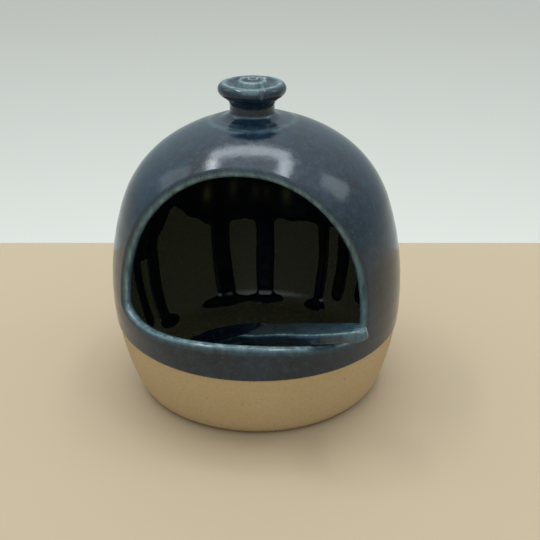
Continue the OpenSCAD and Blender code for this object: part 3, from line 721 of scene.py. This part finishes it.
station = (SPOON_L / 2 * (1 - np.cos(np.linspace(0, np.pi, SPOON_ROWS))))[:, None]
round_way = np.linspace(0, 2 * np.pi, SPOON_SIDES, endpoint=False)[None, :]
spoon_t = -np.cos(round_way) + 0 * station
x, y, z = spoon_skin(station + 0 * round_way, spoon_t, np.where(round_way <= np.pi, 1.0, -1.0))
tilt, heading = math.radians(SPOON_TILT), math.radians(SPOON_HEADING)
reach, height = x * math.cos(tilt) + z * math.sin(tilt), z * math.cos(tilt) - x * math.sin(tilt)
spoon_points = np.stack([SPOON_AT[0] + reach * math.cos(heading) - y * math.sin(heading),
                         SPOON_AT[1] + reach * math.sin(heading) + y * math.cos(heading),
                         SPOON_AT[2] + height], -1) * MM
across = np.abs(spoon_t)
spoon_break_and_painted_light = np.maximum(HANDLE_BREAK * ease((HANDLE_BREAK_TO - station) / HANDLE_BREAK_FADE),
                         END_BREAK * ease((END_BREAK_TO - station) / END_BREAK_FADE))
# Painted dark reflection down the middle of the sides
painted_flank_dark = (FLANK_PAINTED_DARK * ease((across - FLANK_FROM) / FLANK_FADE)
         * ease((station - FLANK_START) / FLANK_START_FADE))
spoon_break_and_painted_light = spoon_break_and_painted_light * (1 - painted_flank_dark)
# Painted highlight lines along the upper and lower edges of the handle and neck
upper, lower = (peak * bell(across, middle, spread) for peak, middle, spread in (UPPER_HIGHLIGHT, LOWER_HIGHLIGHT))
painted_highlights = np.where(round_way <= np.pi, upper, lower)
spoon_break_and_painted_light = np.maximum(spoon_break_and_painted_light, painted_highlights * ease((HIGHLIGHT_TO - station) / HIGHLIGHT_FADE))
make_piece("loose_spoon", spoon_points.reshape(-1, 3),
           quads(ringed(np.arange(x.size).reshape(x.shape)), True),
           "spoon", ["spoon"], deep_blue, {"edge_break_and_painted_light": spoon_break_and_painted_light.ravel()})


# The stage: a plain pale floor, a pale surround, soft light from above, and the camera.
pale, tree, shader = new_material("pale_floor", Roughness=0.6)
shader.inputs["Base Color"].default_value = linear("#b9a487")
FLOOR_X, FLOOR_FRONT, FLOOR_BACK = 1.6, -1.6, 0.145
VIEW_TURN, VIEW_DOWN = math.radians(6.38), math.radians(25.69)
floor_mesh = bpy.data.meshes.new("plain_floor")
corners = np.array([(-FLOOR_X, FLOOR_FRONT), (FLOOR_X, FLOOR_FRONT),
                    (FLOOR_X, FLOOR_BACK), (-FLOOR_X, FLOOR_BACK)])
square_on = np.array([[math.cos(VIEW_TURN), math.sin(VIEW_TURN)],
                      [-math.sin(VIEW_TURN), math.cos(VIEW_TURN)]])
floor_mesh.from_pydata([(*corner, 0.0) for corner in corners @ square_on], [], [(0, 1, 2, 3)])
floor_mesh.materials.append(pale)
floor = bpy.data.objects.new("plain_floor", floor_mesh)
bpy.context.scene.collection.objects.link(floor)

world = bpy.data.worlds.new("pale_surround")
bpy.context.scene.world = world
world.use_nodes = True
tree = world.node_tree
way = add(tree, "SeparateXYZ", {0: add(tree, "TexCoord").outputs["Generated"]})
height = add(tree, "MapRange", {0: way.outputs["Z"], 1: -1.0, 2: 1.0})
ramp = add(tree, "ValToRGB", {0: height.outputs[0]})
for position, code in ((0.25, "#d2d8d3"), (0.30, "#d0d6d1"), (0.42, "#aeb3ae"), (0.5, "#9da9ab"),
                       (0.62, "#a9b7bb"), (0.7, "#bccace"), (0.85, "#d8e6ea"), (1.0, "#e2eff3")):
    ramp.color_ramp.elements.new(position).color = linear(code)
ramp.color_ramp.elements.remove(ramp.color_ramp.elements[0])
tree.links.new(ramp.outputs[0], tree.nodes["Background"].inputs["Color"])
tree.nodes["Background"].inputs["Strength"].default_value = 1.2

LIGHT_Z, LIGHT_TINT = 1.11, "#eff9ff"


def soft_box(name, place, target, size, power):
    """Rectangular soft light at a place, turned to face a target."""
    light = bpy.data.lights.new(name, "AREA")
    light.shape, light.size, light.size_y, light.energy = "RECTANGLE", *size, power
    light.color = linear(LIGHT_TINT)[:3]
    lamp = bpy.data.objects.new(name, light)
    way = np.array(target) - np.array(place)
    lamp.location = place
    lamp.rotation_euler = (math.acos(-way[2] / np.linalg.norm(way)), 0, math.atan2(-way[0], way[1]))
    bpy.context.scene.collection.objects.link(lamp)


soft_box("back_soft_box", (-0.11, 0.36, LIGHT_Z), (-0.11, 0.36, 0), (0.86, 0.2), 2.85)
soft_box("left_soft_box", (-0.5, 0.06, LIGHT_Z), (-0.5, 0.06, 0), (0.12, 0.5), 2.2)
soft_box("right_soft_box", (0.3, 0.06, LIGHT_Z), (0.3, 0.06, 0), (0.13, 0.5), 1.7)
soft_box("ceiling_soft_box", (-0.12, 0.12, LIGHT_Z), (-0.12, 0.12, 0), (0.8, 0.5), 0.5)
soft_box("right_side_soft_box", (0.85, 0.25, 0.8), (0.03, -0.03, 0.1), (0.3, 0.4), 0.65)
soft_box("left_side_soft_box", (-0.95, 0.2, 0.85), (-0.03, -0.03, 0.1), (0.4, 0.5), 0.55)

camera = bpy.data.cameras.new("camera")
camera.lens, camera.sensor_width = 59.33, 36.0
viewer = bpy.data.objects.new("camera", camera)
viewer.location = (0.0464, -0.3620, 0.2264)
viewer.rotation_euler = (math.pi / 2 - VIEW_DOWN, 0, VIEW_TURN)
bpy.context.scene.collection.objects.link(viewer)
bpy.context.scene.camera = viewer
bpy.context.scene.view_settings.view_transform = "Standard"
